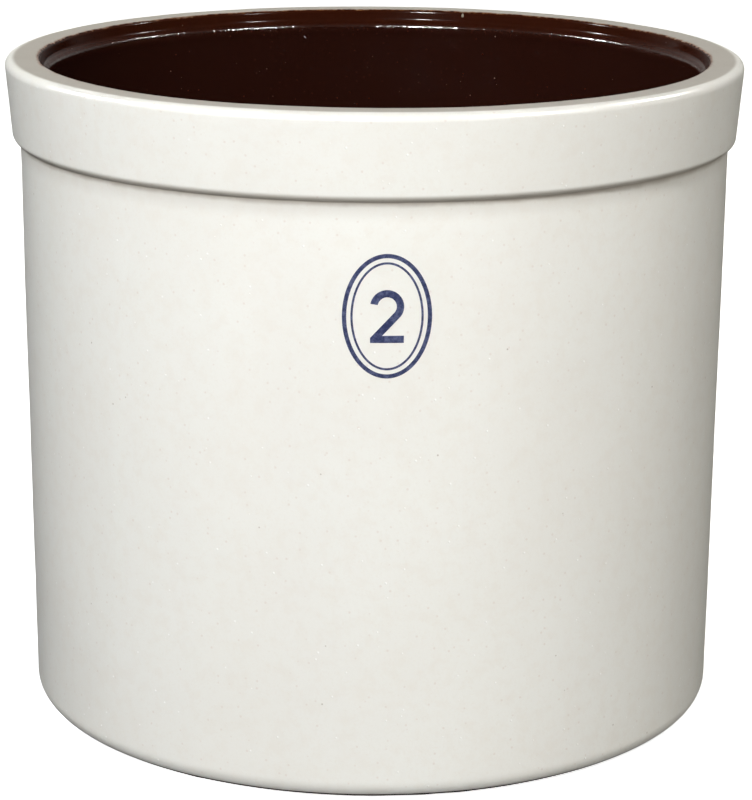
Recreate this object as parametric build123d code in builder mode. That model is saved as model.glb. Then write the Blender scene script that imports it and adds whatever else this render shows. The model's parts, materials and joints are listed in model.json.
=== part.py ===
"""Two-gallon straight-sided stoneware crock, open at the top.

Millimetres, +Z up. The origin is the centre of the foot, on the surface that the crock stands on, and
the printed mark faces -Y. Radii and heights are finished sizes, measured over the glaze.
"""

import os
from math import cos, radians, tan

from build123d import *

# Overall size, with the diameter taken across the rim's outer corner before it is rounded
rim_diameter = 255.5
height = 228.0

# Rim band, which leans out towards the top and stands proud of the wall below it
band_height = 28.0
band_lean = 2.3
band_overhang = 2.55
band_underside_slope = 12.0
band_rounding = 2.4
neck_rounding = 0.8
rim_rounding = 2.6

# Wall, and how much it draws in from the band down to the foot
wall_thickness = 10.25
wall_taper = 1.5
foot_rounding = 6.5

# Mouth, with a shallow ledge just inside it
rim_width = 12.1
mouth_rounding = 1.2
ledge_depth = 4.0
ledge_lean = 0.7
ledge_slope = 35.0
ledge_cove = 1.4
shoulder_rounding = 1.6

# Inside, which narrows a little towards the floor
bore_draft = 2.6
floor_thickness = 12.0
floor_rounding = 14.0

# Underside, bare clay
dry_foot_height = 0.5
standing_ring_width = 12.0
recess_depth = 1.5
recess_slope_width = 4.0

# Glaze, the same thickness inside and outside
glaze_thickness = 0.5
white_over_mouth_edge = 0.4

# Printed capacity mark, sunk flush into the outer glaze
ink_thickness = 0.2
mark_width = 28.2
mark_height = 40.0
mark_below_rim = 64.5
border_line = 1.35
inner_line = 0.7
border_gap = 1.3
numeral_height = 17.0
numeral_width = 10.6
numeral_stroke = 2.3
bowl_start = 170.0
bowl_turn = -205.0

# How far the outlines run past the axis and the foot before they are trimmed
overrun = 10.0

# Radii and heights that follow
rim_radius = rim_diameter / 2
band_lower_radius = rim_radius - band_lean
neck_radius = band_lower_radius - band_overhang
foot_radius = neck_radius - wall_taper
mouth_radius = rim_radius - rim_width
ledge_radius = mouth_radius - ledge_lean
bore_radius = neck_radius - wall_thickness
glaze_line_radius = mouth_radius + white_over_mouth_edge
recess_radius = foot_radius - foot_rounding - standing_ring_width
neck_height = height - band_height
band_corner_height = neck_height + band_overhang * tan(radians(band_underside_slope))
ledge_height = height - ledge_depth
ledge_run = abs(ledge_radius - bore_radius)
ledge_slope_length = ledge_run / cos(radians(ledge_slope))
shoulder_height = ledge_height - ledge_run * tan(radians(ledge_slope))


def wall_radius(z):
    """Radius of the tapered outer wall at height z, carried on below the foot."""
    return foot_radius + wall_taper * z / neck_height


# The cross-section's corners, each with its rounding, from the floor up the inside and down the outside.
# The ledge's two roundings are never longer than the slope between them.
outline = [
    ((-overrun, floor_thickness), 0),
    ((bore_radius - bore_draft, floor_thickness), floor_rounding),
    ((bore_radius, shoulder_height), min(shoulder_rounding, ledge_slope_length)),
    ((ledge_radius, ledge_height), min(ledge_cove, ledge_slope_length)),
    ((mouth_radius, height), mouth_rounding),
    ((rim_radius, height), rim_rounding),
    ((band_lower_radius, band_corner_height), band_rounding),
    ((neck_radius, neck_height), neck_rounding),
    ((wall_radius(-overrun), -overrun), 0),
    ((-overrun, -overrun), 0),
]

# Cross-section over the glaze, and the same one a glaze thickness inside it, X as radius and Y as height
with BuildSketch() as glazed_outline:
    with BuildLine():
        FilletPolyline(*[corner for corner, _ in outline], radius=[r for _, r in outline], close=True)
    make_face()

with BuildSketch() as clay_outline:
    add(glazed_outline.sketch_local)
    offset(amount=-glaze_thickness)


def half_section(full_outline):
    """The half of an outline above the recessed underside, with the foot's outer corner rounded."""
    with BuildSketch() as section:
        add(full_outline.sketch_local)
        with BuildLine():
            Polyline(
                (0, recess_depth),
                (recess_radius - recess_slope_width, recess_depth),
                (recess_radius, 0),
                (rim_diameter, 0),
                (rim_diameter, height + overrun),
                (0, height + overrun),
                close=True,
            )
        make_face(mode=Mode.INTERSECT)
        fillet(section.vertices().group_by(Axis.Y)[0].sort_by(Axis.X)[-1], foot_rounding)
    return section


clay_section = half_section(clay_outline)
glazed_section = half_section(glazed_outline)

with BuildSketch() as glaze_section:
    add(glazed_section.sketch_local)
    add(clay_section.sketch_local, mode=Mode.SUBTRACT)


def oval_line(width, tall, line):
    """An upright oval drawn with a line of the given width, inside width by tall."""
    with BuildSketch() as oval:
        Ellipse(width / 2, tall / 2)
        Ellipse(width / 2 - line, tall / 2 - line, mode=Mode.SUBTRACT)
    return oval


# The printed mark, drawn flat with its centre at the origin
inner_inset = 2 * (border_line + border_gap)
border_sketch = oval_line(mark_width, mark_height, border_line)
inner_line_sketch = oval_line(mark_width - inner_inset, mark_height - inner_inset, inner_line)

bowl_radius = (numeral_width - numeral_stroke) / 2
bowl_height = numeral_height / 2 - numeral_stroke / 2 - bowl_radius
base_height = (numeral_stroke - numeral_height) / 2
with BuildSketch() as numeral_sketch:
    with BuildLine():
        bowl = CenterArc((0, bowl_height), bowl_radius, bowl_start, bowl_turn)
        stem = Line(bowl @ 1, (-bowl_radius, base_height))
        Line(stem @ 1, (numeral_width / 2, base_height))
    trace(line_width=numeral_stroke)
    Rectangle(numeral_width, numeral_height, mode=Mode.INTERSECT)

mark_plane = Plane((0, -rim_radius, height - mark_below_rim), x_dir=(1, 0, 0), z_dir=(0, -1, 0))

# A skin as deep as the ink, just under the wall's finished surface, that the flat drawings are cut from
with BuildPart() as ink_skin:
    with BuildSketch(Plane.XZ):
        with BuildLine():
            Polyline(
                (wall_radius(0) - ink_thickness, 0),
                (wall_radius(0), 0),
                (wall_radius(neck_height), neck_height),
                (wall_radius(neck_height) - ink_thickness, neck_height),
                close=True,
            )
        make_face()
    revolve(axis=Axis.Z)


# Blue ink, printed into the glaze
with BuildPart() as mark_border:
    with BuildSketch(mark_plane):
        add(border_sketch.sketch_local)
    extrude(amount=-rim_radius)
    add(ink_skin.part, mode=Mode.INTERSECT)

with BuildPart() as mark_inner_line:
    with BuildSketch(mark_plane):
        add(inner_line_sketch.sketch_local)
    extrude(amount=-rim_radius)
    add(ink_skin.part, mode=Mode.INTERSECT)

with BuildPart() as capacity_numeral:
    with BuildSketch(mark_plane):
        add(numeral_sketch.sketch_local)
    extrude(amount=-rim_radius)
    add(ink_skin.part, mode=Mode.INTERSECT)


# Fired clay body: floor, wall and rim band in one piece
with BuildPart() as stoneware_body:
    with BuildSketch(Plane.XZ):
        add(clay_section.sketch_local)
    revolve(axis=Axis.Z)


# White glaze over the rim and down the outside, stopping short of the foot, with the mark let into it
with BuildPart() as exterior_glaze:
    with BuildSketch(Plane.XZ):
        add(glaze_section.sketch_local)
        with Locations((glaze_line_radius, dry_foot_height)):
            Rectangle(rim_diameter, height + overrun, align=(Align.MIN, Align.MIN), mode=Mode.INTERSECT)
    revolve(axis=Axis.Z)
    for ink in (mark_border, mark_inner_line, capacity_numeral):
        add(ink.part, mode=Mode.SUBTRACT)


# Brown glaze over the floor, the inner wall and the ledge, up to the mouth's edge
with BuildPart() as interior_glaze:
    with BuildSketch(Plane.XZ):
        add(glaze_section.sketch_local)
        with Locations((glaze_line_radius, floor_thickness / 2)):
            Rectangle(rim_diameter, height + overrun, align=(Align.MAX, Align.MIN), mode=Mode.INTERSECT)
    revolve(axis=Axis.Z)


os.makedirs("parts", exist_ok=True)
for piece, label in (
    (stoneware_body, "stoneware_body"),
    (exterior_glaze, "exterior_glaze"),
    (interior_glaze, "interior_glaze"),
    (mark_border, "mark_border"),
    (mark_inner_line, "mark_inner_line"),
    (capacity_numeral, "capacity_numeral"),
):
    piece.part.label = label
    export_step(piece.part, f"parts/{label}.step")
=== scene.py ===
"""Looks of an open two-gallon stoneware crock: fired clay, a white glaze outside, a brown glaze inside and a
blue printed capacity mark. Metres, +Z up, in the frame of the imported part, with the mark facing -Y."""

import json
import logging
from collections.abc import Callable
from dataclasses import dataclass, field, replace
from enum import Enum
from math import ceil, cos, pi, radians, sin, tan, tau

import bmesh
import bpy
from mathutils import Euler, Matrix, Vector

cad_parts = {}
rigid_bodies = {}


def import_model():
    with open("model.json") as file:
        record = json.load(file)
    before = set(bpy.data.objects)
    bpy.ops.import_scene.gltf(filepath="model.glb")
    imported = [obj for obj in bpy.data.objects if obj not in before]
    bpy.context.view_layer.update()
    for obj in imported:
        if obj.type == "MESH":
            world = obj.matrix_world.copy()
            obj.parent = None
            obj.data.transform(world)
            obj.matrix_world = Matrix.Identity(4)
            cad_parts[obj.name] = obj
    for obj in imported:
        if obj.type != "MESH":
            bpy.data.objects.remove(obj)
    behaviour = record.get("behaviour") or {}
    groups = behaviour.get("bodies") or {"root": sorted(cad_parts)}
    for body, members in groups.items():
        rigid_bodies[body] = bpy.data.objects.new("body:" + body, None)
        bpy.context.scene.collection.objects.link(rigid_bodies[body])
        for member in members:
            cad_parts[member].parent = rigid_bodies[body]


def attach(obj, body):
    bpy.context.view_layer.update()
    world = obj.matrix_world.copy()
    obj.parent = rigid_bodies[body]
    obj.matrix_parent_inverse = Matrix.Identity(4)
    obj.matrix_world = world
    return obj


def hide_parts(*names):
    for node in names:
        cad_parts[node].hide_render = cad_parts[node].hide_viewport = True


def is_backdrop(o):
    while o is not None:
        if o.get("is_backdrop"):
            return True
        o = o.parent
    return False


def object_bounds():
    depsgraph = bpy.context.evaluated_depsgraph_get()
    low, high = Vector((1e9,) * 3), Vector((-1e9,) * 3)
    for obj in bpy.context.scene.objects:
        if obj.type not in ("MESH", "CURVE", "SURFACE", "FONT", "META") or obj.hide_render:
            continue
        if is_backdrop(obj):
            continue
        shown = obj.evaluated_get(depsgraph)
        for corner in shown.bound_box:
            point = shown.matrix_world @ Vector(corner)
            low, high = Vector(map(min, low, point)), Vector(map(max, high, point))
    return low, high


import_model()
log = logging.getLogger("crock")

MM = 0.001
Colour = tuple[float, float, float]
Socket = bpy.types.NodeSocket
Feed = Socket | float | Colour

SAME_PLACE = 0.01 * MM
SAME_WAY = radians(0.05)
SEAM = 0.002 * MM
SMOOTH_BELOW = radians(50)


# ---------------------------------------------------------------- sizes


@dataclass(frozen=True)
class CrockSizes:
    """Finished sizes of the crock, over the glaze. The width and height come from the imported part."""

    width: float
    height: float
    corner_loss: float = 0.23 * MM
    band_height: float = 28.0 * MM
    band_lean: float = 2.3 * MM
    band_overhang: float = 2.55 * MM
    band_underside_slope: float = radians(12.0)
    band_rounding: float = 2.4 * MM
    neck_rounding: float = 0.8 * MM
    rim_rounding: float = 2.6 * MM
    wall: float = 10.25 * MM
    wall_taper: float = 1.5 * MM
    foot_rounding: float = 6.5 * MM
    rim_width: float = 12.1 * MM
    mouth_rounding: float = 1.2 * MM
    ledge_depth: float = 4.0 * MM
    ledge_lean: float = 0.7 * MM
    ledge_slope: float = radians(35.0)
    ledge_cove: float = 1.4 * MM
    shoulder_rounding: float = 1.6 * MM
    bore_draft: float = 2.6 * MM
    floor: float = 12.0 * MM
    floor_rounding: float = 14.0 * MM
    dry_foot: float = 0.5 * MM
    standing_ring: float = 12.0 * MM
    recess_depth: float = 1.5 * MM
    recess_slope: float = 4.0 * MM
    glaze: float = 0.5 * MM
    wave: float = 45 * MM
    wave_depth: float = 0.35 * MM

    @property
    def rim_radius(self) -> float:
        """Radius of the rim's outer corner before it is rounded."""
        return self.width / 2 + self.corner_loss

    @property
    def mouth_radius(self) -> float:
        """Radius of the mouth at the top of the rim."""
        return self.rim_radius - self.rim_width

    @property
    def ledge_radius(self) -> float:
        """Radius at the foot of the leaning wall between the mouth and the ledge."""
        return self.mouth_radius - self.ledge_lean

    @property
    def ledge_height(self) -> float:
        """Height at which the ledge begins to slope down to the shoulder."""
        return self.height - self.ledge_depth

    @property
    def band_lower_radius(self) -> float:
        """Radius of the rim band's lower corner."""
        return self.rim_radius - self.band_lean

    @property
    def band_corner_height(self) -> float:
        """Height of the rim band's lower corner."""
        return self.neck_height + self.band_overhang * tan(self.band_underside_slope)

    @property
    def neck_radius(self) -> float:
        """Radius of the wall where it meets the band."""
        return self.band_lower_radius - self.band_overhang

    @property
    def neck_height(self) -> float:
        """Height at which the wall meets the band."""
        return self.height - self.band_height

    @property
    def foot_radius(self) -> float:
        """Radius of the wall at the foot before its corner is rounded."""
        return self.neck_radius - self.wall_taper

    @property
    def bore_radius(self) -> float:
        """Radius of the inner wall below the shoulder."""
        return self.neck_radius - self.wall

    @property
    def shoulder_height(self) -> float:
        """Height of the corner between the ledge and the inner wall."""
        return self.ledge_height - (self.ledge_radius - self.bore_radius) * tan(self.ledge_slope)

    @property
    def recess_radius(self) -> float:
        """Inner radius of the standing ring."""
        return self.foot_radius - self.foot_rounding - self.standing_ring


# ---------------------------------------------------------------- modelling helpers


class Direction(Enum):
    """The way in which an unevenness moves a surface."""

    ALONG_NORMAL = "NORMAL"
    UPWARDS = "Z"


class Element(Enum):
    """The kind of mesh element that is picked, as the select mode calls it."""

    VERTEX = "VERT"
    EDGE = "EDGE"


class Maths(Enum):
    """What a sum works out, as the math node calls it."""

    ADD = "ADD"
    SUBTRACT = "SUBTRACT"
    MULTIPLY = "MULTIPLY"
    LARGER = "MAXIMUM"
    ROOT = "SQRT"
    BELOW = "LESS_THAN"


@dataclass(frozen=True)
class Corner:
    """A corner of an outline: its place, its rounding, and the longest edge allowed on the run after it."""

    radius: float
    height: float
    rounding: float = 0.0
    run_step: float = 20 * MM
    segments: int = 6


def select_only(piece: bpy.types.Object) -> None:
    """Leaves one object selected and active.

    Args:
        piece: the object.
    """
    bpy.ops.object.select_all(action="DESELECT")
    piece.select_set(True)
    bpy.context.view_layer.objects.active = piece


def pick(piece: bpy.types.Object, wanted: Callable[..., bool], kind: Element = Element.VERTEX) -> int:
    """Selects, in edit mode, the elements of a piece that a test accepts.

    Args:
        piece: the object in edit mode.
        wanted: a test on a bmesh vertex or edge.
        kind: which of the two is tested.

    Returns:
        How many were selected.
    """
    bpy.ops.mesh.select_all(action="DESELECT")
    bpy.ops.mesh.select_mode(type=kind.value)
    shape = bmesh.from_edit_mesh(piece.data)
    elements = shape.verts if kind is Element.VERTEX else shape.edges
    found = [element for element in elements if wanted(element)]
    for element in found:
        element.select_set(True)
    shape.select_flush_mode()
    bmesh.update_edit_mesh(piece.data)
    return len(found)


def near(place: Vector, reach: float = SAME_PLACE) -> Callable[[bmesh.types.BMVert], bool]:
    """A test for a vertex at a place."""
    return lambda vertex: (vertex.co - place).length < reach


class Lathe:
    """Draws an outline in the XZ plane, rounds its corners and throws it round the Z axis."""

    def __init__(self, name: str, steps: int) -> None:
        """Names the piece and says how many steps go round it.

        Args:
            name: the piece's name.
            steps: how many steps go round it.
        """
        self.name = name
        self.steps = steps
        self.piece: bpy.types.Object | None = None

    def draw(self, corners: list[Corner]) -> None:
        """Extrudes a single vertex along the corners, closes the outline, and stays in edit mode.

        Args:
            corners: the outline in order; a last edge joins its two ends unless both lie on the axis.
        """
        bpy.ops.object.select_all(action="DESELECT")
        bpy.ops.mesh.primitive_plane_add(size=1 * MM)
        self.piece = bpy.context.object
        self.piece.name = self.piece.data.name = self.name
        bpy.ops.object.mode_set(mode="EDIT")
        # The select mode outlives the piece that was edited before this one.
        bpy.ops.mesh.select_mode(type=Element.VERTEX.value)
        bpy.ops.mesh.select_all(action="SELECT")
        bpy.ops.mesh.merge(type="CENTER")
        first, last = corners[0], corners[-1]
        bpy.ops.transform.translate(value=(first.radius, 0, first.height))
        for here, there in zip(corners, corners[1:]):
            step = (there.radius - here.radius, 0, there.height - here.height)
            bpy.ops.mesh.extrude_vertices_move(TRANSFORM_OT_translate={"value": step})
        if max(first.radius, last.radius) > 0:
            ends = [Vector((c.radius, 0, c.height)) for c in (first, last)]
            pick(self.piece, lambda v: any(near(end)(v) for end in ends))
            bpy.ops.mesh.edge_face_add()
        self.divide(corners)
        self.round_off(corners)

    def divide(self, corners: list[Corner]) -> None:
        """Cuts each run between two roundings into equal edges no longer than its own step.

        Args:
            corners: the outline in order.
        """
        spots = [Vector((c.radius, 0, c.height)) for c in corners]
        for here, start, end in zip(corners, spots, spots[1:]):
            cuts = ceil((end - start).length / here.run_step) - 1
            ends = (near(start), near(end))

            def is_run(edge: bmesh.types.BMEdge) -> bool:
                """Whether an edge goes from one end of the run to the other."""
                return all(any(at_end(v) for v in edge.verts) for at_end in ends)

            if cuts > 0 and pick(self.piece, is_run, Element.EDGE):
                bpy.ops.mesh.subdivide(number_cuts=cuts)

    def round_off(self, corners: list[Corner]) -> None:
        """Bevels each corner to its rounding, after clearing the cuts of its two runs that lie inside it.

        Args:
            corners: the outline in order.
        """
        for before, here, after in zip(corners, corners[1:], corners[2:]):
            if here.rounding == 0:
                continue
            spot = Vector((here.radius, 0, here.height))
            ways = [Vector((c.radius, 0, c.height)) - spot for c in (before, after)]
            setback = here.rounding / tan(ways[0].angle(ways[1]) / 2)

            def inside(vertex: bmesh.types.BMVert) -> bool:
                """Whether a vertex lies on one of the two runs, within the rounding.

                Args:
                    vertex: the vertex.

                Returns:
                    True if it does.
                """
                away = vertex.co - spot
                on_run = any(away.length > 0 and away.angle(way) < SAME_WAY for way in ways)
                return on_run and SAME_PLACE < away.length < setback * 1.05

            if pick(self.piece, inside):
                bpy.ops.mesh.dissolve_verts()
            pick(self.piece, near(spot))
            bpy.ops.mesh.bevel(offset=setback, segments=here.segments, profile=0.5, affect="VERTICES")

    def trim_below(self, height: float) -> None:
        """Cuts away the outline below a height and closes it with a level edge.

        Args:
            height: the height of the cut.
        """
        bpy.ops.mesh.select_all(action="SELECT")
        bpy.ops.mesh.bisect(plane_co=(0, 0, height), plane_no=(0, 0, 1), clear_inner=True)
        pick(self.piece, lambda v: len(v.link_edges) == 1)
        bpy.ops.mesh.edge_face_add()

    def throw(self) -> bpy.types.Object:
        """Spins the outline once round, closes the seam and the poles, and leaves edit mode.

        Returns:
            The finished object, smooth but for its sharp edges.
        """
        bpy.ops.mesh.select_all(action="SELECT")
        bpy.ops.mesh.spin(steps=self.steps, angle=tau, center=(0, 0, 0), axis=(0, 0, 1))
        bpy.ops.mesh.select_all(action="SELECT")
        bpy.ops.mesh.remove_doubles(threshold=SEAM)
        bpy.ops.mesh.normals_make_consistent(inside=False)
        bpy.ops.object.mode_set(mode="OBJECT")
        select_only(self.piece)
        bpy.ops.object.shade_smooth_by_angle(angle=SMOOTH_BELOW)
        return self.piece


def make_uneven(piece: bpy.types.Object, size: float, depth: float, way: Direction, group: str = "") -> None:
    """Moves a surface by a soft cloud pattern, as hand work and firing do.

    Args:
        piece: the object to move.
        size: the pattern's size, in metres.
        depth: from its lowest place to its highest, in metres.
        way: the direction of the move.
        group: the vertex group that moves, or "" for the whole piece.
    """
    clouds = bpy.data.textures.new(f"{piece.name}_unevenness", "CLOUDS")
    clouds.noise_scale = size
    clouds.noise_depth = 1
    select_only(piece)
    wave = piece.modifiers.new("unevenness", "DISPLACE")
    wave.texture = clouds
    wave.texture_coords = "LOCAL"
    wave.direction = way.value
    wave.mid_level = 0.5
    wave.strength = depth
    wave.vertex_group = group
    bpy.ops.object.modifier_apply(modifier=wave.name)


def group_where(piece: bpy.types.Object, name: str, wanted: Callable[[Vector], bool]) -> None:
    """Makes a vertex group of the vertices whose place a test accepts."""
    group = piece.vertex_groups.new(name=name)
    group.add([v.index for v in piece.data.vertices if wanted(v.co)], 1.0, "REPLACE")


# ---------------------------------------------------------------- finishes


@dataclass(frozen=True)
class Mottle:
    """A cloud pattern: the size of its features in metres, its octaves, how strong the fine ones are, and the
    two values between which it is cut, or None to leave it whole."""

    size: float
    detail: float = 2.0
    roughness: float = 0.5
    cut: tuple[float, float] | None = None


@dataclass(frozen=True)
class Specks:
    """Round specks: metres from one cell to the next, a speck's radius, the share of cells that hold one, and
    the share of the radius that is at full strength."""

    spacing: float
    radius: float
    share: float
    core: float = 0.4


class Nodes:
    """A short hand for building a node tree."""

    def __init__(self, tree: bpy.types.NodeTree) -> None:
        """Takes the tree that the nodes are added to."""
        self.tree = tree

    def feed(self, socket: Socket, value: Feed) -> None:
        """Links a socket, or sets it.

        Args:
            socket: the input.
            value: an output to link it to, or a number or a colour.
        """
        if isinstance(value, Socket):
            self.tree.links.new(value, socket)
        elif isinstance(value, tuple) and socket.type == "RGBA":
            socket.default_value = (*value, 1.0)
        else:
            socket.default_value = value

    def maths(self, operation: Maths, a: Feed, b: Feed = 0.0) -> Socket:
        """A sum of one or two values.

        Args:
            operation: what is worked out.
            a: the first value.
            b: the second value, where the operation has one.

        Returns:
            The result.
        """
        node = self.tree.nodes.new("ShaderNodeMath")
        node.operation = operation.value
        self.feed(node.inputs[0], a)
        self.feed(node.inputs[1], b)
        return node.outputs[0]

    def plus(self, a: Feed, b: Feed) -> Socket:
        """The two added."""
        return self.maths(Maths.ADD, a, b)

    def minus(self, a: Feed, b: Feed) -> Socket:
        """The second taken from the first."""
        return self.maths(Maths.SUBTRACT, a, b)

    def times(self, a: Feed, b: Feed) -> Socket:
        """The two multiplied."""
        return self.maths(Maths.MULTIPLY, a, b)

    def larger(self, a: Feed, b: Feed) -> Socket:
        """The larger of the two."""
        return self.maths(Maths.LARGER, a, b)

    def span(self, value: Socket, start: float, end: float) -> Socket:
        """How far a value has come from start to end, smoothly.

        Args:
            value: the value.
            start: where the result is 0.
            end: where the result is 1, which may be less than start.

        Returns:
            From 0 to 1.
        """
        node = self.tree.nodes.new("ShaderNodeMapRange")
        node.interpolation_type = "SMOOTHSTEP"
        self.feed(node.inputs["Value"], value)
        backwards = end < start
        node.inputs["From Min"].default_value = min(start, end)
        node.inputs["From Max"].default_value = max(start, end)
        node.inputs["To Min"].default_value = 1.0 if backwards else 0.0
        node.inputs["To Max"].default_value = 0.0 if backwards else 1.0
        return node.outputs["Result"]

    def level(self, pattern: Socket, low: float, high: float) -> Socket:
        """Spreads a pattern evenly over a range.

        Args:
            pattern: from 0 to 1.
            low: the result at 0.
            high: the result at 1.

        Returns:
            From low to high.
        """
        node = self.tree.nodes.new("ShaderNodeMapRange")
        self.feed(node.inputs["Value"], pattern)
        node.inputs["To Min"].default_value = low
        node.inputs["To Max"].default_value = high
        return node.outputs["Result"]


class Recipe(Nodes):
    """A material in the making, with patterns that lie in the piece's own coordinates."""

    def __init__(self, name: str) -> None:
        """Starts an empty material with a principled shader.

        Args:
            name: the material's name.
        """
        self.material = bpy.data.materials.new(name)
        self.material.use_nodes = True
        super().__init__(self.material.node_tree)
        self.tree.nodes.clear()
        output = self.tree.nodes.new("ShaderNodeOutputMaterial")
        self.shader = self.tree.nodes.new("ShaderNodeBsdfPrincipled")
        self.tree.links.new(self.shader.outputs[0], output.inputs["Surface"])
        self.place = self.tree.nodes.new("ShaderNodeTexCoord").outputs["Object"]

    def put(self, name: str, value: Feed) -> None:
        """Links or sets one of the shader's inputs."""
        self.feed(self.shader.inputs[name], value)

    def drawn_out(self, upwards: float) -> Socket:
        """The piece's own coordinates, with patterns drawn out along Z by a factor.

        Args:
            upwards: how many times taller the patterns become.

        Returns:
            The coordinates.
        """
        node = self.tree.nodes.new("ShaderNodeMapping")
        self.feed(node.inputs["Vector"], self.place)
        node.inputs["Scale"].default_value = (1, 1, 1 / upwards)
        return node.outputs["Vector"]

    def noise(self, mottle: Mottle, at: Socket | None = None) -> Socket:
        """A cloud pattern.

        Args:
            mottle: its size and character.
            at: coordinates other than the piece's own.

        Returns:
            From 0 to 1.
        """
        node = self.tree.nodes.new("ShaderNodeTexNoise")
        self.feed(node.inputs["Vector"], at or self.place)
        node.inputs["Scale"].default_value = 1 / mottle.size
        node.inputs["Detail"].default_value = mottle.detail
        node.inputs["Roughness"].default_value = mottle.roughness
        whole = node.outputs["Fac"]
        return self.span(whole, *mottle.cut) if mottle.cut else whole

    def speckle(self, specks: Specks) -> Socket:
        """Round specks at random places.

        Args:
            specks: their spacing, size and number.

        Returns:
            1 in a speck and 0 outside it.
        """
        node = self.tree.nodes.new("ShaderNodeTexVoronoi")
        self.feed(node.inputs["Vector"], self.place)
        node.inputs["Scale"].default_value = 1 / specks.spacing
        reach = specks.radius / specks.spacing
        inside = self.span(node.outputs["Distance"], reach, specks.core * reach)
        parts = self.tree.nodes.new("ShaderNodeSeparateColor")
        self.feed(parts.inputs[0], node.outputs["Color"])
        return self.times(inside, self.maths(Maths.BELOW, parts.outputs[0], specks.share))

    def blend(self, share: Feed, first: Feed, second: Feed) -> Socket:
        """A colour between two.

        Args:
            share: how much of the second, from 0 to 1.
            first: the colour at 0.
            second: the colour at 1.

        Returns:
            The colour.
        """
        node = self.tree.nodes.new("ShaderNodeMix")
        node.data_type = "RGBA"
        self.feed(node.inputs["Factor"], share)
        first_colour, second_colour = (s for s in node.inputs if s.type == "RGBA")
        self.feed(first_colour, first)
        self.feed(second_colour, second)
        return next(s for s in node.outputs if s.type == "RGBA")

    def between(self, share: Feed, first: Feed, second: Feed) -> Socket:
        """A number between two.

        Args:
            share: how much of the second, from 0 to 1.
            first: the number at 0.
            second: the number at 1.

        Returns:
            The number.
        """
        node = self.tree.nodes.new("ShaderNodeMix")
        for socket, value in zip((node.inputs[0], *node.inputs[2:4]), (share, first, second)):
            self.feed(socket, value)
        return node.outputs[0]

    def bump(self, relief: Socket, depth: float, over: Socket | None = None) -> Socket:
        """A surface relief.

        Args:
            relief: its pattern, from 0 to 1.
            depth: its depth in metres.
            over: another relief that lies under it.

        Returns:
            The normals.
        """
        node = self.tree.nodes.new("ShaderNodeBump")
        node.inputs["Distance"].default_value = depth
        self.feed(node.inputs["Height"], relief)
        if over is not None:
            self.feed(node.inputs["Normal"], over)
        return node.outputs["Normal"]

    def from_axis(self) -> tuple[Socket, Socket]:
        """Where a point lies round the crock's axis.

        Returns:
            Its distance from the Z axis, and its height.
        """
        split = self.tree.nodes.new("ShaderNodeSeparateXYZ")
        self.feed(split.inputs[0], self.place)
        x, y, height = split.outputs
        return self.maths(Maths.ROOT, self.plus(self.times(x, x), self.times(y, y))), height

    def dress(self, piece: bpy.types.Object) -> None:
        """Gives a piece this material alone."""
        piece.data.materials.clear()
        piece.data.materials.append(self.material)


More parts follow.
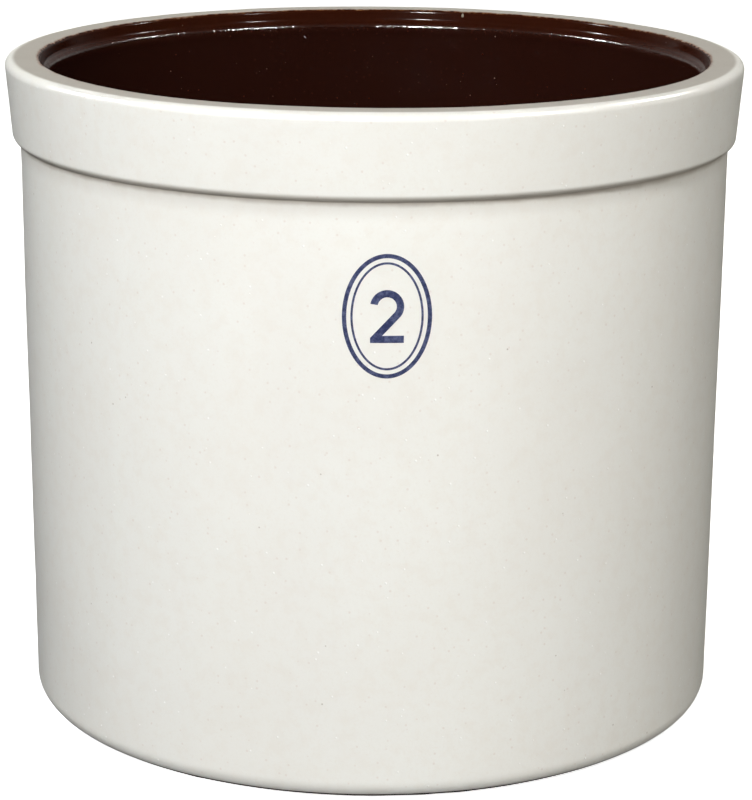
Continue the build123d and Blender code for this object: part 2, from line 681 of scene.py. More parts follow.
@dataclass(frozen=True)
class BrownGlaze:
    """High-gloss dark red-brown glaze, paler and less shiny where it thins over the ledge."""

    deep: Colour = (0.024, 0.0066, 0.0044)
    thin: Colour = (0.040, 0.0088, 0.0032)
    red_speck: Colour = (0.065, 0.017, 0.009)
    pinhole: Colour = (0.26, 0.20, 0.17)
    roughness: float = 0.10
    ior: float = 1.52
    shine: float = 0.5
    ledge_shine: float = 0.06
    cloudiness: Mottle = Mottle(14 * MM)
    streaks: Mottle = Mottle(4 * MM, 3.0, 0.6)
    streak_length: float = 4.0
    streak_share: float = 0.25
    thin_patches: Mottle = Mottle(9 * MM, 3.0)
    flecks: Mottle = Mottle(1.6 * MM, 3.0, 0.65, (0.50, 0.75))
    fleck_share: float = 0.16
    red_specks: Specks = Specks(4.0 * MM, 0.40 * MM, 0.5)
    pinholes: Specks = Specks(5.5 * MM, 0.30 * MM, 0.6)
    orange_peel: Mottle = Mottle(2.2 * MM)
    orange_peel_depth: float = 0.03 * MM
    ripples: Mottle = Mottle(1.9 * MM, 2.5)
    ripple_depth: float = 0.34 * MM
    bubbles: Specks = Specks(2.6 * MM, 0.35 * MM, 0.6)
    bubble_depth: float = 0.08 * MM

    def recipe(self, crock: CrockSizes) -> Recipe:
        """Builds the material for the inside of a crock.

        Args:
            crock: the sizes that place the shoulder.

        Returns:
            The material.
        """
        mix = Recipe("brown_glaze")
        _, height = mix.from_axis()
        shoulder = crock.shoulder_height
        mix.put("Base Color", self.colour(mix, height, shoulder))
        gloss = mix.level(mix.noise(self.cloudiness), 0.7 * self.roughness, 1.5 * self.roughness)
        mix.put("Roughness", gloss)
        on_ledge = mix.span(height, shoulder - 0.2 * MM, shoulder + 0.5 * MM)
        mix.put("Specular IOR Level", mix.level(on_ledge, self.shine, self.ledge_shine))
        mix.put("IOR", self.ior)
        mix.put("Normal", self.relief(mix, height, shoulder))
        return mix

    def colour(self, mix: Recipe, height: Socket, shoulder: float) -> Socket:
        """The glaze's colour, with streaks, flecks and specks.

        Args:
            mix: the material being built.
            height: height above the foot.
            shoulder: the height of the corner above which the glaze is thin.

        Returns:
            The colour.
        """
        thinning = mix.span(height, shoulder - 3 * MM, shoulder + 1 * MM)
        patchy = mix.times(thinning, mix.level(mix.noise(self.thin_patches), 0.5, 1.1))
        streaks = mix.noise(self.streaks, mix.drawn_out(self.streak_length))
        colour = mix.blend(mix.level(streaks, 0.0, self.streak_share), self.deep, self.thin)
        colour = mix.blend(patchy, colour, self.thin)
        colour = mix.blend(mix.level(mix.noise(self.flecks), 0.0, self.fleck_share), colour, self.red_speck)
        colour = mix.blend(mix.speckle(self.red_specks), colour, self.red_speck)
        return mix.blend(mix.speckle(self.pinholes), colour, self.pinhole)

    def relief(self, mix: Recipe, height: Socket, shoulder: float) -> Socket:
        """The glaze's surface: orange peel, ripples round the shoulder, and burst bubbles.

        Args:
            mix: the material being built.
            height: height above the foot.
            shoulder: the height of the corner that the ripples gather round.

        Returns:
            The normals.
        """
        from_below = mix.span(height, shoulder - 5 * MM, shoulder - 1.5 * MM)
        from_above = mix.span(height, shoulder + 1.4 * MM, shoulder + 0.4 * MM)
        ripples = mix.times(mix.noise(self.ripples), mix.times(from_below, from_above))
        relief = mix.bump(mix.noise(self.orange_peel), self.orange_peel_depth)
        relief = mix.bump(ripples, self.ripple_depth, relief)
        return mix.bump(mix.speckle(self.bubbles), self.bubble_depth, relief)


@dataclass(frozen=True)
class WhiteGlaze:
    """Soft-gloss warm white glaze with specks, ending in a ragged brown line at the mouth, with painted shade
    under the band and painted glints on its pimples.
    """

    body: Colour = (0.81, 0.805, 0.765)
    cool: Colour = (0.83, 0.835, 0.80)
    warm: Colour = (0.77, 0.73, 0.665)
    dull_speck: Colour = (0.755, 0.715, 0.665)
    grey_speck: Colour = (0.52, 0.48, 0.43)
    # Painted highlight: the colour that makes the pimples look as if they catch the light.
    painted_pimple_glint: Colour = (0.95, 0.95, 0.93)
    foot_line: Colour = (0.50, 0.38, 0.30)
    # Painted shade: the colour that darkens the corner under the band.
    groove_shade_colour: Colour = (0.30, 0.26, 0.21)
    fringe: Colour = (0.19, 0.075, 0.024)
    roughness: float = 0.30
    ior: float = 1.48
    shine: float = 0.5
    cloudiness: Mottle = Mottle(20 * MM)
    broad: Mottle = Mottle(60 * MM, cut=(0.35, 0.65))
    broad_share: float = 0.5
    mottle: Mottle = Mottle(5 * MM, 4.0, 0.6, (0.42, 0.72))
    grain: Mottle = Mottle(0.9 * MM, cut=(0.50, 0.80))
    warm_share: float = 0.30
    dull_specks: Specks = Specks(3.2 * MM, 0.55 * MM, 0.55)
    grey_specks: Specks = Specks(11 * MM, 0.42 * MM, 0.55)
    pimples: Specks = Specks(4.5 * MM, 0.42 * MM, 0.60)
    pimple_depth: float = 0.12 * MM
    orange_peel: Mottle = Mottle(1.6 * MM)
    orange_peel_depth: float = 0.03 * MM
    foot_wander: Mottle = Mottle(5 * MM, 4.0, 0.6)
    # The next three shape the painted shade under the band: how it wanders, the dark line's share and the
    # fade's share.
    groove_shade_wander: Mottle = Mottle(7 * MM, 3.0)
    shade_line_share: float = 0.52
    shade_fade_share: float = 0.26
    mouth_wander: Mottle = Mottle(12 * MM)
    mouth_teeth: Mottle = Mottle(1.6 * MM, 3.0, 0.65)

    def recipe(self, crock: CrockSizes, inside: BrownGlaze) -> Recipe:
        """Builds the material for the outside of a crock.

        Args:
            crock: the sizes that place the foot, the corner under the band and the mouth.
            inside: the glaze that laps over the mouth's edge.

        Returns:
            The material.
        """
        mix = Recipe("white_glaze")
        radius, height = mix.from_axis()
        pimples = mix.speckle(self.pimples)
        # The pimples are real bumps, and their brighter colour is a painted highlight.
        colour = mix.blend(pimples, self.speckled(mix), self.painted_pimple_glint)
        colour = mix.blend(self.near_foot(mix, height), colour, self.foot_line)
        # Painted shade in the corner under the band.
        colour = mix.blend(self.painted_groove_shade(mix, crock, radius, height), colour, self.groove_shade_colour)
        edge = self.mouth_edge(mix, crock, radius, height)
        colour = mix.blend(mix.span(edge, 0.95 * MM, 0.35 * MM), colour, self.fringe)
        brown = mix.span(edge, 0.20 * MM, -0.10 * MM)
        mix.put("Base Color", mix.blend(brown, colour, inside.thin))
        satin = mix.level(mix.noise(self.cloudiness), 0.85 * self.roughness, 1.2 * self.roughness)
        mix.put("Roughness", mix.between(brown, satin, inside.roughness))
        mix.put("IOR", self.ior)
        mix.put("Specular IOR Level", mix.level(brown, self.shine, inside.ledge_shine))
        relief = mix.bump(mix.noise(self.orange_peel), self.orange_peel_depth)
        mix.put("Normal", mix.bump(pimples, self.pimple_depth, relief))
        return mix

    def speckled(self, mix: Recipe) -> Socket:
        """The white itself, with cool and warm clouds and dull specks.

        Args:
            mix: the material being built.

        Returns:
            The colour.
        """
        colour = mix.blend(mix.level(mix.noise(self.broad), 0.0, self.broad_share), self.body, self.cool)
        for pattern in (self.mottle, self.grain):
            colour = mix.blend(mix.level(mix.noise(pattern), 0.0, self.warm_share), colour, self.warm)
        colour = mix.blend(mix.speckle(self.dull_specks), colour, self.dull_speck)
        return mix.blend(mix.speckle(self.grey_specks), colour, self.grey_speck)

    def near_foot(self, mix: Recipe, height: Socket) -> Socket:
        """Whether a place lies in the thin line of stained glaze at the foot, from 0 to 1."""
        ragged = mix.plus(height, mix.level(mix.noise(self.foot_wander), -0.3 * MM, 0.3 * MM))
        return mix.span(ragged, 1.3 * MM, 0.7 * MM)

    def painted_groove_shade(self, mix: Recipe, crock: CrockSizes, radius: Socket, height: Socket) -> Socket:
        """How much painted shade darkens the glaze in the corner under the band: a dark line, with a softer
        fade below it.

        Args:
            mix: the material being built.
            crock: the sizes that place the corner.
            radius: distance from the axis.
            height: height above the foot.

        Returns:
            A share from 0 to 1.
        """
        below = mix.minus(crock.neck_height + 0.6 * MM, height)
        ragged = mix.plus(below, mix.level(mix.noise(self.groove_shade_wander), -0.6 * MM, 0.6 * MM))
        # Painted shade: a dark line just under the band, and a fainter fade further down the wall.
        line = mix.times(mix.span(ragged, 3.0 * MM, 1.0 * MM), self.shade_line_share)
        shade_fade = mix.times(mix.span(ragged, 8.0 * MM, 1.0 * MM), self.shade_fade_share)
        on_wall = mix.span(radius, crock.band_lower_radius, crock.neck_radius + 0.8 * MM)
        under_band = mix.span(height, crock.band_corner_height + 2.0 * MM, crock.neck_height + 0.3 * MM)
        return mix.times(mix.plus(line, shade_fade), mix.larger(on_wall, under_band))

    def mouth_edge(self, mix: Recipe, crock: CrockSizes, radius: Socket, height: Socket) -> Socket:
        """How far a place lies outside the ragged line at the mouth where the brown glaze ends.

        Args:
            mix: the material being built.
            crock: the sizes that place the mouth.
            radius: distance from the axis.
            height: height above the foot.

        Returns:
            Metres along the surface, less than 0 on the brown side.
        """
        drop = mix.larger(mix.minus(crock.height - 0.35 * MM, height), 0.0)
        inner_side = mix.span(radius, crock.mouth_radius + 4 * MM, crock.mouth_radius + 2 * MM)
        out = mix.minus(radius, crock.mouth_radius + 0.35 * MM)
        out = mix.minus(out, mix.times(drop, inner_side))
        wander = mix.level(mix.noise(self.mouth_wander), -0.9 * MM, 0.9 * MM)
        teeth = mix.level(mix.noise(self.mouth_teeth), -1.3 * MM, 1.3 * MM)
        return mix.plus(mix.plus(out, wander), teeth)


@dataclass(frozen=True)
class WhiteDrip:
    """White glaze that ran thin over brown, so that some brown shows through."""

    body: Colour = (0.42, 0.38, 0.30)
    stained: Colour = (0.10, 0.05, 0.025)
    roughness: float = 0.16
    patches: Mottle = Mottle(1.5 * MM, 3.0, cut=(0.35, 0.65))
    ripples: Mottle = Mottle(0.8 * MM)
    ripple_depth: float = 0.04 * MM

    def recipe(self) -> Recipe:
        """Builds the material for a run of glaze.

        Returns:
            The material.
        """
        mix = Recipe("white_drip")
        mix.put("Base Color", mix.blend(mix.noise(self.patches), self.body, self.stained))
        mix.put("Roughness", self.roughness)
        mix.put("Normal", mix.bump(mix.noise(self.ripples), self.ripple_depth))
        return mix


@dataclass(frozen=True)
class FiredClay:
    """Bare buff stoneware, matt and slightly sandy."""

    body: Colour = (0.52, 0.42, 0.31)
    dark: Colour = (0.34, 0.25, 0.17)
    iron: Colour = (0.10, 0.06, 0.035)
    roughness: float = 0.85
    clouds: Mottle = Mottle(30 * MM, 3.0, cut=(0.3, 0.75))
    grain: Mottle = Mottle(0.7 * MM, 3.0, 0.7)
    grain_share: float = 0.5
    iron_specks: Specks = Specks(6 * MM, 0.4 * MM, 0.3)
    sand: Mottle = Mottle(0.8 * MM, 4.0, 0.7)
    sand_depth: float = 0.12 * MM

    def recipe(self) -> Recipe:
        """Builds the material for the dry foot and the underside.

        Returns:
            The material.
        """
        mix = Recipe("fired_clay")
        colour = mix.blend(mix.noise(self.clouds), self.body, self.dark)
        colour = mix.blend(mix.level(mix.noise(self.grain), 0.0, self.grain_share), colour, self.dark)
        mix.put("Base Color", mix.blend(mix.speckle(self.iron_specks), colour, self.iron))
        mix.put("Roughness", self.roughness)
        mix.put("Normal", mix.bump(mix.noise(self.sand), self.sand_depth))
        return mix


@dataclass(frozen=True)
class BlueInk:
    """Navy ink fired under the glaze, a little mottled."""

    deep: Colour = (0.022, 0.030, 0.095)
    pale: Colour = (0.115, 0.135, 0.245)
    roughness: float = 0.30
    ior: float = 1.48
    mottle: Mottle = Mottle(1.4 * MM, 3.0, 0.65, (0.35, 0.80))
    orange_peel: Mottle = Mottle(1.6 * MM)
    orange_peel_depth: float = 0.03 * MM

    def recipe(self) -> Recipe:
        """Builds the material for the printed mark.

        Returns:
            The material.
        """
        mix = Recipe("blue_ink")
        mix.put("Base Color", mix.blend(mix.noise(self.mottle), self.deep, self.pale))
        mix.put("Roughness", self.roughness)
        mix.put("IOR", self.ior)
        mix.put("Normal", mix.bump(mix.noise(self.orange_peel), self.orange_peel_depth))
        return mix


@dataclass(frozen=True)
class PaleFloor:
    """Plain pale studio floor."""

    colour: Colour = (0.86, 0.86, 0.855)
    glow: float = 1.0
    roughness: float = 0.9

    def recipe(self) -> Recipe:
        """Builds the floor's material.

        Returns:
            The material.
        """
        mix = Recipe("pale_floor")
        mix.put("Base Color", self.colour)
        mix.put("Roughness", self.roughness)
        mix.put("Emission Color", self.colour)
        mix.put("Emission Strength", self.glow)
        return mix


# ---------------------------------------------------------------- the studio


@dataclass
class Camera:
    """A camera a little above the rim, looking down at the mark."""

    distance: float = 0.9922
    height: float = 0.3729
    aside: float = radians(2.03)
    pitch: float = 0.2654
    turn: float = -0.0012
    roll: float = 0.0062
    lens: float = 129.06
    sensor: float = 36.0
    nearest: float = 0.05
    farthest: float = 20.0

    def build(self) -> None:
        """Adds the camera and makes it the scene's own."""
        spot = (-self.distance * sin(self.aside), -self.distance * cos(self.aside), self.height)
        bpy.ops.object.camera_add(location=spot)
        camera = bpy.context.object
        aim = Euler((pi / 2 - self.pitch, 0, self.turn - self.aside), "XYZ").to_matrix()
        camera.rotation_euler = (aim @ Matrix.Rotation(self.roll, 3, "Z")).to_euler("XYZ")
        camera.data.sensor_fit = "AUTO"
        camera.data.sensor_width = self.sensor
        camera.data.lens = self.lens
        camera.data.clip_start = self.nearest
        camera.data.clip_end = self.farthest
        bpy.context.scene.camera = camera


@dataclass(frozen=True)
class SoftBox:
    """A rectangular studio light that faces the crock. Its bearing goes from the front towards the right."""

    name: str
    around: float
    rise: float
    reach: float
    size: tuple[float, float]
    watts: float
    colour: Colour = (1.0, 1.0, 1.0)
    mirrored: bool = True
    lighting: bool = True

    def glint(self, size: tuple[float, float], watts: float) -> "SoftBox":
        """A white panel at the same place, which shows in the glaze and lights nothing.

        Args:
            size: the panel's width and height.
            watts: its power.

        Returns:
            The panel, named after this light.
        """
        name = f"{self.name}_mirrored"
        return SoftBox(name, self.around, self.rise, self.reach, size, watts, lighting=False)

    def build(self, target: Vector) -> None:
        """Adds the light at its bearing, and its rise above the target.

        Args:
            target: the point that it faces.
        """
        level = Vector((sin(self.around), -cos(self.around), 0)) * cos(self.rise)
        away = level + Vector((0, 0, sin(self.rise)))
        bpy.ops.object.light_add(type="AREA", location=target + away * self.reach)
        light = bpy.context.object
        light.name = self.name
        light.rotation_euler = away.to_track_quat("Z", "Y").to_euler()
        light.data.shape = "RECTANGLE"
        light.data.size, light.data.size_y = self.size
        light.data.energy = self.watts
        light.data.color = self.colour
        light.visible_glossy = self.mirrored
        light.visible_diffuse = self.lighting


def studio_boxes() -> list[SoftBox]:
    """The lights: four small lamps, a glint for each, and five larger ones that the glaze doesn't mirror.

    Returns:
        The lights in the order in which they are added.
    """
    lamps = [
        SoftBox("key", radians(-22), radians(31), 1.15, (0.06, 0.06), 7.3, (1.0, 0.995, 0.98)),
        SoftBox("left", radians(-100), radians(32), 1.4, (0.06, 0.06), 4.4, (0.98, 0.99, 1.0)),
        SoftBox("front_right", radians(49), radians(38), 1.4, (0.05, 0.05), 2.4, (1.0, 0.98, 0.93)),
        SoftBox("right", radians(110), radians(40), 1.4, (0.045, 0.045), 1.5, (1.0, 0.96, 0.88)),
    ]
    glints = (((0.09, 0.16), 30.0), ((0.09, 0.16), 25.0), ((0.07, 0.16), 20.0), ((0.05, 0.14), 12.0))
    low, wide = radians(1), (1.0, 0.2)
    soft = [
        SoftBox("overhead", radians(4), radians(62), 1.5, (0.5, 0.16), 1.2),
        SoftBox("behind", radians(180), radians(40), 1.6, (0.8, 0.5), 13.0, (1.0, 0.99, 0.91)),
        SoftBox("left_fill", radians(-42), low, 2.0, wide, 8.6),
        SoftBox("front_fill", radians(18), low, 1.6, wide, 7.4, (1.0, 0.99, 0.97)),
        SoftBox("right_fill", radians(78), low, 1.8, wide, 5.2, (1.0, 0.94, 0.82)),
    ]
    return [
        *lamps,
        *(lamp.glint(size, watts) for lamp, (size, watts) in zip(lamps, glints)),
        *(replace(box, mirrored=False) for box in soft),
    ]


@dataclass
class Studio:
    """A pale floor with walls, lights and surroundings. Floor and walls throw no light on the crock."""

    floor_width: float = 8.0
    wall_height: float = 5.0
    aim: float = 0.6
    sky: Colour = (1.0, 0.985, 0.95)
    overhead: float = 0.13
    underneath: float = 0.04
    backdrop: float = 0.36
    boxes: list[SoftBox] = field(default_factory=studio_boxes)

    def build(self, crock: CrockSizes) -> None:
        """Adds the floor, the lights and the soft surroundings.

        Args:
            crock: the crock that the lights are aimed at.
        """
        self.lay_floor()
        for box in self.boxes:
            box.build(Vector((0, 0, crock.height * self.aim)))
        self.surround()
        bpy.context.scene.view_settings.view_transform = "Standard"
        log.info("studio: a floor, %d lights", len(self.boxes))

    def lay_floor(self) -> None:
        """Adds a square floor with a wall along each side, open above."""
        bpy.ops.mesh.primitive_plane_add(size=self.floor_width)
        floor = bpy.context.object
        floor.name = "studio_floor"
        bpy.ops.object.mode_set(mode="EDIT")
        bpy.ops.mesh.extrude_region_move(TRANSFORM_OT_translate={"value": (0, 0, self.wall_height)})
        bpy.ops.mesh.delete(type="ONLY_FACE")
        pick(floor, lambda e: all(v.co.z == 0 for v in e.verts), Element.EDGE)
        bpy.ops.mesh.edge_face_add()
        bpy.ops.mesh.select_mode(type=Element.VERTEX.value)
        bpy.ops.object.mode_set(mode="OBJECT")
        floor.visible_diffuse = floor.visible_glossy = False
        PaleFloor().recipe().dress(floor)
        floor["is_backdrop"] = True

    def surround(self) -> None:
        """Makes the surroundings: pale overhead, paler still low down at the back, dim below the horizon."""
        world = bpy.data.worlds.new("studio")
        bpy.context.scene.world = world
        world.use_nodes = True
        mix = Nodes(world.node_tree)
        split = mix.tree.nodes.new("ShaderNodeSeparateXYZ")
        mix.feed(split.inputs[0], mix.tree.nodes.new("ShaderNodeTexCoord").outputs["Generated"])
        _, backwards, upwards = split.outputs
        dome = mix.level(mix.span(upwards, -0.1, 0.6), self.underneath, self.overhead)
        at_back = mix.level(mix.span(backwards, 0.2, 0.8), 0.0, self.backdrop)
        low_down = mix.times(mix.span(upwards, -0.05, 0.03), mix.span(upwards, 0.75, 0.35))
        sky = mix.tree.nodes["Background"]
        mix.feed(sky.inputs["Color"], self.sky)
        mix.feed(sky.inputs["Strength"], mix.plus(dome, mix.times(at_back, low_down)))


# ---------------------------------------------------------------- the crock


@dataclass
class ClayBody:
    """The fired clay: floor, wall and rim band, of which only the dry foot and the underside show."""

    crock: CrockSizes
    steps: int = 256
    rings: int = 24
    mark_depth: float = 0.12 * MM
    piece: bpy.types.Object | None = None

    def build(self) -> None:
        """Throws the clay's own section, a glaze thickness inside the finished surface."""
        c, g = self.crock, self.crock.glaze
        lathe = Lathe("clay_body", self.steps)
        lathe.draw(
            [
                Corner(0, c.floor - g),
                Corner(c.bore_radius - c.bore_draft + g, c.floor - g, c.floor_rounding),
                Corner(c.bore_radius + g, c.shoulder_height - g),
                Corner(c.mouth_radius + g, c.ledge_height - g),
                Corner(c.mouth_radius + g, c.height - g, 0.6 * MM),
                Corner(c.rim_radius - g, c.height - g, c.rim_rounding - g),
                Corner(c.band_lower_radius - g, c.band_corner_height + g, c.band_rounding - g),
                Corner(c.neck_radius - g, c.neck_height + g, run_step=8 * MM),
                Corner(c.foot_radius - g, 0, c.foot_rounding, 2 * MM, 10),
                Corner(c.recess_radius, 0, 1.0 * MM, 1 * MM),
                Corner(c.recess_radius - c.recess_slope, c.recess_depth, 1.5 * MM, 2 * MM),
                *self.turning_marks(),
                Corner(0, c.recess_depth),
            ]
        )
        self.piece = lathe.throw()
        log.info("clay body: %d faces", len(self.piece.data.polygons))

    def turning_marks(self) -> list[Corner]:
        """Shallow rings that the turning tool leaves on the underside.

        Returns:
            Corners from the edge of the recess towards its middle, in and out in turn.
        """
        reach = self.crock.recess_radius - self.crock.recess_slope
        spots = [reach * (1 - k / self.rings) for k in range(1, self.rings)]
        depth = self.crock.recess_depth
        return [Corner(r, depth + (k % 2) * self.mark_depth, run_step=3 * MM) for k, r in enumerate(spots)]

    def dress(self) -> None:
        """Fires it bare."""
        FiredClay().recipe().dress(self.piece)
        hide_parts("stoneware_body")
        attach(self.piece, "root")


@dataclass
class OuterGlaze:
    """The white glaze, over the rim and down the outside to just above the foot."""

    crock: CrockSizes
    steps: int = 320
    lap: float = 1.6 * MM
    edge_wave: float = 9 * MM
    edge_wave_depth: float = 0.6 * MM
    piece: bpy.types.Object | None = None

    def build(self) -> None:
        """Throws the shell, trims it at the dry foot, and gives it the unevenness of a fired wall."""
        c, g = self.crock, self.crock.glaze
        lathe = Lathe("outer_glaze", self.steps)
        lathe.draw(
            [
                Corner(c.mouth_radius + g, c.height - self.lap),
                Corner(c.mouth_radius - 0.1 * MM, c.height - self.lap, run_step=0.5 * MM),
                Corner(c.mouth_radius, c.height, c.mouth_rounding, 1.2 * MM),
                Corner(c.rim_radius, c.height, c.rim_rounding, 2.2 * MM, 12),
                Corner(c.band_lower_radius, c.band_corner_height, c.band_rounding, 1 * MM, 8),
                Corner(c.neck_radius, c.neck_height, c.neck_rounding, 2.4 * MM, 5),
                Corner(c.foot_radius, 0, c.foot_rounding, 1 * MM, 10),
                Corner(c.recess_radius, 0),
                Corner(c.recess_radius, g),
                Corner(c.foot_radius - g, g, c.foot_rounding - g, 20 * MM, 6),
                Corner(c.neck_radius - g, c.neck_height + g),
                Corner(c.band_lower_radius - g, c.band_corner_height + g, c.band_rounding - g, 20 * MM, 6),
                Corner(c.rim_radius - g, c.height - g, c.rim_rounding - g, 20 * MM, 6),
                Corner(c.mouth_radius + g, c.height - g),
            ]
        )
        lathe.trim_below(c.dry_foot)
        self.piece = lathe.throw()
        group_where(self.piece, "lower_edge", lambda co: co.z < c.dry_foot + 0.1 * MM)
        make_uneven(self.piece, self.edge_wave, self.edge_wave_depth, Direction.UPWARDS, "lower_edge")
        make_uneven(self.piece, c.wave, c.wave_depth, Direction.ALONG_NORMAL)
        log.info("outer glaze: %d faces", len(self.piece.data.polygons))

    def dress(self) -> None:
        """Gives it the white finish."""
        WhiteGlaze().recipe(self.crock, BrownGlaze()).dress(self.piece)
        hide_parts("exterior_glaze")
        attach(self.piece, "root")


@dataclass
class InnerGlaze:
    """The brown glaze, over the floor, the inner wall and the ledge."""

    crock: CrockSizes
    steps: int = 320
    lap: float = 1.2 * MM
    piece: bpy.types.Object | None = None

    def build(self) -> None:
        """Throws the lining from just under the mouth's edge to the middle of the floor and back."""
        c, g = self.crock, self.crock.glaze
        lathe = Lathe("inner_glaze", self.steps)
        lathe.draw(
            [
                Corner(0, c.floor, run_step=5 * MM),
                Corner(c.bore_radius - c.bore_draft, c.floor, c.floor_rounding, 3.0 * MM, 10),
                Corner(c.bore_radius, c.shoulder_height, c.shoulder_rounding, 1.2 * MM, 8),
                Corner(c.ledge_radius, c.ledge_height, c.ledge_cove, 0.8 * MM, 6),
                Corner(c.mouth_radius - 0.2 * MM, c.height - self.lap),
                Corner(c.mouth_radius + g, c.height - self.lap),
                Corner(c.ledge_radius + g, c.ledge_height - g, c.ledge_cove),
                Corner(c.bore_radius + g, c.shoulder_height - g),
                Corner(c.bore_radius - c.bore_draft + g, c.floor - g, c.floor_rounding),
                Corner(0, c.floor - g),
            ]
        )
        self.piece = lathe.throw()
        make_uneven(self.piece, c.wave, c.wave_depth, Direction.ALONG_NORMAL)
        log.info("inner glaze: %d faces", len(self.piece.data.polygons))

    def dress(self) -> None:
        """Gives it the brown finish."""
        BrownGlaze().recipe(self.crock).dress(self.piece)
        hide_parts("interior_glaze")
        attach(self.piece, "root")


@dataclass
class CapacityMark:
    """The printed mark: an upright oval of two lines round the capacity in gallons."""

    crock: CrockSizes
    width: float = 28.2 * MM
    tall: float = 40.0 * MM
    below_rim: float = 64.5 * MM
    border_line: float = 1.35 * MM
    inner_line: float = 0.7 * MM
    border_gap: float = 1.3 * MM
    numeral_tall: float = 17.0 * MM
    numeral_wide: float = 10.6 * MM
    stroke: float = 2.3 * MM
    bowl_start: float = radians(170)
    bowl_turn: float = radians(205)
    film: float = 0.12 * MM
    proud: float = 0.05 * MM
    oval_points: int = 220
    bowl_steps: int = 48
    strip: float = 1 * MM
    weld: float = 0.03 * MM
    corner_reach: float = 0.05 * MM
    pieces: dict[str, bpy.types.Object] = field(default_factory=dict)

    def build(self, wall: bpy.types.Object) -> None:
        """Draws the three pieces flat in front of the wall and lays them on it.

        Args:
            wall: the glazed outside, which the ink follows.
        """
        inset = 2 * (self.border_line + self.border_gap)
        self.pieces["mark_border"] = self.oval("ink_border", self.width, self.tall, self.border_line)
        self.pieces["mark_inner_line"] = self.oval(
            "ink_inner_line", self.width - inset, self.tall - inset, self.inner_line
        )
        self.pieces["capacity_numeral"] = self.numeral("ink_numeral")
        for piece in self.pieces.values():
            self.lay_on(piece, wall)
        log.info("mark: %d pieces", len(self.pieces))

    def oval(self, name: str, width: float, tall: float, line: float) -> bpy.types.Object:
        """An upright oval line, flat in the XZ plane and facing -Y.

        Args:
            name: the piece's name.
            width: its outer width.
            tall: its outer height.
            line: how thick the line is.

        Returns:
            The flat line, its middle at the origin.
        """
        bpy.ops.object.select_all(action="DESELECT")
        bpy.ops.mesh.primitive_circle_add(vertices=self.oval_points, radius=0.5, rotation=(pi / 2, 0, 0))
        piece = bpy.context.object
        piece.name = piece.data.name = name
        bpy.ops.object.transform_apply(location=True, rotation=True, scale=True)
        bpy.ops.object.mode_set(mode="EDIT")
        bpy.ops.mesh.select_all(action="SELECT")
        bpy.ops.transform.resize(value=(width, 1, tall))
        bpy.ops.mesh.extrude_edges_move()
        bpy.ops.transform.resize(value=(1 - 2 * line / width, 1, 1 - 2 * line / tall))
        bpy.ops.object.mode_set(mode="OBJECT")
        return piece

    def numeral(self, name: str) -> bpy.types.Object:
        """Draws a plain figure two, flat in the XZ plane: a level foot, a bowl and a slanting stem.

        Args:
            name: the piece's name.

        Returns:
            The drawing, its middle at the origin.
        """
        half, side = self.numeral_tall / 2, self.numeral_wide / 2
        bowl = side - self.stroke / 2
        centre = Vector((0, 0, half - self.stroke / 2 - bowl))
        turns = (self.bowl_start, self.bowl_start - self.bowl_turn)
        start, end = (Vector((cos(turn), 0, sin(turn))) for turn in turns)
        tip = centre + end * bowl
        stem = (Vector((-bowl, 0, self.stroke / 2 - half)) - tip).normalized()
        foot_top = self.stroke - half
        middle = -bowl - stem.x / stem.z * -self.stroke / 2
        slant = self.stroke / 2 / abs(stem.z)
        left, right = (Vector((middle + k * slant, 0, foot_top)) for k in (-1, 1))

        bpy.ops.object.select_all(action="DESELECT")
        bpy.ops.mesh.primitive_plane_add(size=1, rotation=(pi / 2, 0, 0))
        piece = bpy.context.object
        piece.name = piece.data.name = name
        bpy.ops.object.transform_apply(location=True, rotation=True, scale=True)
        bpy.ops.object.mode_set(mode="EDIT")
        bpy.ops.mesh.select_all(action="SELECT")
        bpy.ops.transform.resize(value=(self.numeral_wide, 1, self.stroke))
        bpy.ops.transform.translate(value=(0, 0, self.stroke / 2 - half))
        bpy.ops.mesh.bisect(plane_co=right, plane_no=(1, 0, 0))
        pick(piece, near(Vector((-side, 0, foot_top))))
        bpy.ops.mesh.bevel(offset=side + left.x, segments=1, affect="VERTICES")

        bpy.ops.mesh.select_all(action="DESELECT")
        bpy.ops.mesh.primitive_plane_add(size=1 * MM)
        bpy.ops.mesh.merge(type="CENTER")
        bpy.ops.transform.translate(value=centre + start * (bowl - self.stroke / 2))
        bpy.ops.mesh.extrude_vertices_move(TRANSFORM_OT_translate={"value": start * self.stroke})
        pick(piece, lambda e: not e.link_faces, Element.EDGE)
        bpy.ops.mesh.spin(steps=self.bowl_steps, angle=self.bowl_turn, center=centre, axis=(0, -1, 0))
        bpy.ops.mesh.extrude_edges_move(TRANSFORM_OT_translate={"value": (left + right) / 2 - tip})
        for k, target in ((-1, left), (1, right)):
            now = (left + right) / 2 + end * k * self.stroke / 2
            pick(piece, near(now, self.corner_reach))
            bpy.ops.transform.translate(value=target - now)
        bpy.ops.mesh.select_all(action="SELECT")
        bpy.ops.mesh.remove_doubles(threshold=self.weld)
        bpy.ops.object.mode_set(mode="OBJECT")
        return piece

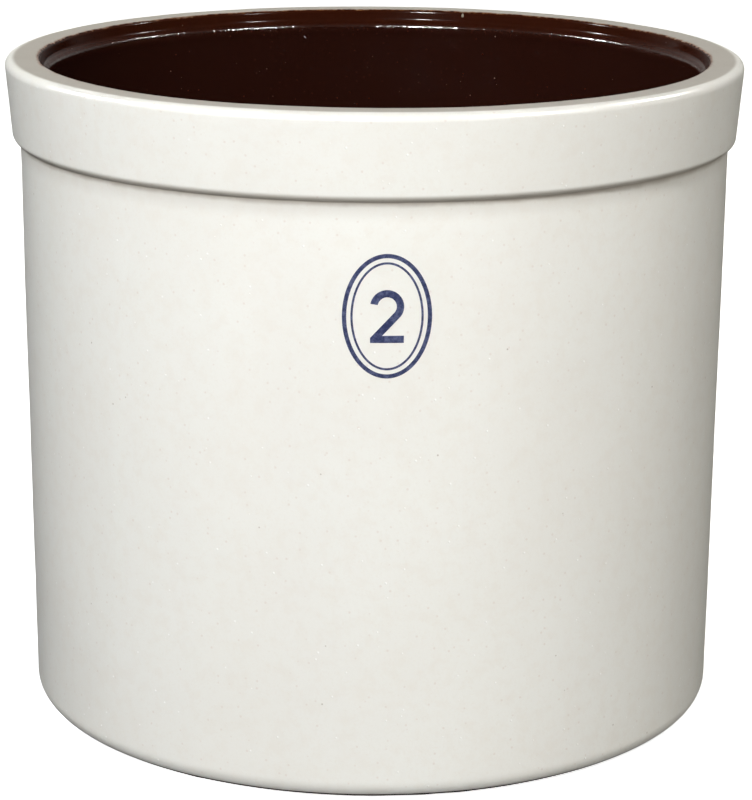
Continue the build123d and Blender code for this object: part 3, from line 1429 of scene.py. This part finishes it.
    def lay_on(self, piece: bpy.types.Object, wall: bpy.types.Object) -> None:
        """Cuts a flat drawing into narrow upright strips and lays it on the wall as a thin film.

        Args:
            piece: the flat drawing.
            wall: the glazed outside.
        """
        select_only(piece)
        bpy.ops.object.mode_set(mode="EDIT")
        bpy.ops.mesh.select_all(action="SELECT")
        bpy.ops.transform.translate(value=(0, -self.crock.rim_radius, self.crock.height - self.below_rim))
        for k in range(int(self.width / self.strip)):
            bpy.ops.mesh.select_all(action="SELECT")
            cut = -self.width / 2 + (k + 0.5) * self.strip
            bpy.ops.mesh.bisect(plane_co=(cut, 0, 0), plane_no=(1, 0, 0))
        bpy.ops.object.mode_set(mode="OBJECT")
        wrap = piece.modifiers.new("onto_wall", "SHRINKWRAP")
        wrap.target = wall
        wrap.wrap_method = "PROJECT"
        wrap.use_project_y = True
        wrap.use_positive_direction = True
        wrap.use_negative_direction = False
        wrap.offset = self.proud
        bpy.ops.object.modifier_apply(modifier=wrap.name)
        thick = piece.modifiers.new("film", "SOLIDIFY")
        thick.thickness = self.film
        thick.offset = -1
        bpy.ops.object.modifier_apply(modifier=thick.name)
        bpy.ops.object.mode_set(mode="EDIT")
        bpy.ops.mesh.select_all(action="SELECT")
        bpy.ops.mesh.normals_make_consistent(inside=False)
        bpy.ops.object.mode_set(mode="OBJECT")
        bpy.ops.object.shade_smooth_by_angle(angle=SMOOTH_BELOW)

    def dress(self) -> None:
        """Inks the three pieces."""
        ink = BlueInk().recipe()
        for node, piece in self.pieces.items():
            ink.dress(piece)
            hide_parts(node)
            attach(piece, "root")


@dataclass
class GlazeDrip:
    """A bead of white glaze that ran over the edge and down the inside of the lip, at the back."""

    crock: CrockSizes
    around: float = radians(19)
    width: float = 1.2 * MM
    drop: float = 2.9 * MM
    segments: int = 32
    ring_count: int = 24
    flatness: float = 0.6
    below_rim: float = 0.3 * MM
    sunk: float = 0.1 * MM
    lean: float = radians(6)
    piece: bpy.types.Object | None = None

    def build(self) -> None:
        """Draws a ball out into a running drop, thin above and full below, and sets it on the lip."""
        bpy.ops.object.select_all(action="DESELECT")
        bpy.ops.mesh.primitive_uv_sphere_add(
            segments=self.segments, ring_count=self.ring_count, radius=self.width / 2
        )
        self.piece = bpy.context.object
        self.piece.name = self.piece.data.name = "glaze_drip"
        bpy.ops.object.mode_set(mode="EDIT")
        bpy.ops.mesh.select_all(action="SELECT")
        bpy.ops.transform.resize(value=(1, self.flatness, self.drop / self.width))
        for share, narrower in ((0.1, 0.85), (0.3, 0.85), (0.55, 0.9)):
            pick(self.piece, lambda v: v.co.z > share * self.drop / 2)
            bpy.ops.transform.resize(value=(narrower, 0.95, 1), center_override=(0, 0, 0))
        bpy.ops.object.mode_set(mode="OBJECT")
        reach = self.crock.mouth_radius - self.sunk
        height = self.crock.height - self.drop / 2 - self.below_rim
        self.piece.location = (reach * sin(self.around), reach * cos(self.around), height)
        self.piece.rotation_euler = (self.lean, 0, -self.around)
        bpy.ops.object.transform_apply(location=True, rotation=True, scale=True)
        bpy.ops.object.shade_smooth()
        log.info("glaze drip: %d faces", len(self.piece.data.polygons))

    def dress(self) -> None:
        """Gives it the finish of thin white glaze."""
        WhiteDrip().recipe().dress(self.piece)
        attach(self.piece, "root")


# ---------------------------------------------------------------- putting it together


def main() -> None:
    """Builds the studio and the crock in order."""
    logging.basicConfig(level=logging.INFO, format="%(name)s: %(message)s")
    cad_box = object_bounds()
    low, high = cad_box
    crock = CrockSizes(width=high.x - low.x, height=high.z - low.z)
    Camera().build()
    Studio().build(crock)
    clay, outside, inside = ClayBody(crock), OuterGlaze(crock), InnerGlaze(crock)
    for part in (clay, outside, inside):
        part.build()
        part.dress()
    mark = CapacityMark(crock)
    mark.build(outside.piece)
    mark.dress()
    drip = GlazeDrip(crock)
    drip.build()
    drip.dress()


if __name__ == "__main__":
    main()
